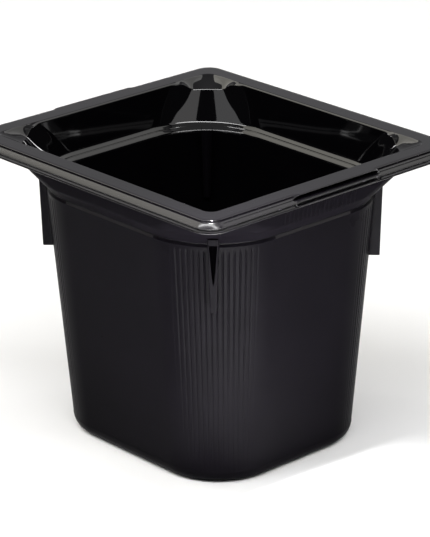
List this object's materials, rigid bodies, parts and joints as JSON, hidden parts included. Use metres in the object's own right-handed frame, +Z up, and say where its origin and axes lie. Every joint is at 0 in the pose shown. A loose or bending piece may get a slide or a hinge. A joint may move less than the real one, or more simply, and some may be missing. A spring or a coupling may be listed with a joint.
{
  "type": "florist bucket",
  "caption": "Deep black plastic display bucket with a rectangular rolled rim, finger notches in two sides, tapered rounded body and corner stacking lugs.",
  "frame": {"origin": "underside of the floor, at the centre of the bucket's bounding box", "axes": "+Z up, out of the bucket's mouth; +X along the rim's longer sides, through the two finger notches; +Y across"},
  "size_m": [0.176, 0.162, 0.15],
  "materials": {
    "black_plastic": "glossy injection-moulded, finely reeded on the outer corners"
  },
  "bodies": {
    "root": {"base_floor": "black_plastic", "wall_front": "black_plastic", "wall_back": "black_plastic", "wall_left": "black_plastic", "wall_right": "black_plastic", "corner_front_left": "black_plastic", "corner_front_right": "black_plastic", "corner_back_left": "black_plastic", "corner_back_right": "black_plastic", "neck_front": "black_plastic", "neck_back": "black_plastic", "neck_left": "black_plastic", "neck_right": "black_plastic", "neck_corner_front_left": "black_plastic", "neck_corner_front_right": "black_plastic", "neck_corner_back_left": "black_plastic", "neck_corner_back_right": "black_plastic", "rim_front": "black_plastic", "rim_back": "black_plastic", "rim_left": "black_plastic", "rim_right": "black_plastic", "stacking_lug_front_left": "black_plastic", "stacking_lug_front_right": "black_plastic", "stacking_lug_back_left": "black_plastic", "stacking_lug_back_right": "black_plastic", "grip_ribs_left": "black_plastic", "grip_ribs_right": "black_plastic"}
  },
  "joints": []
}
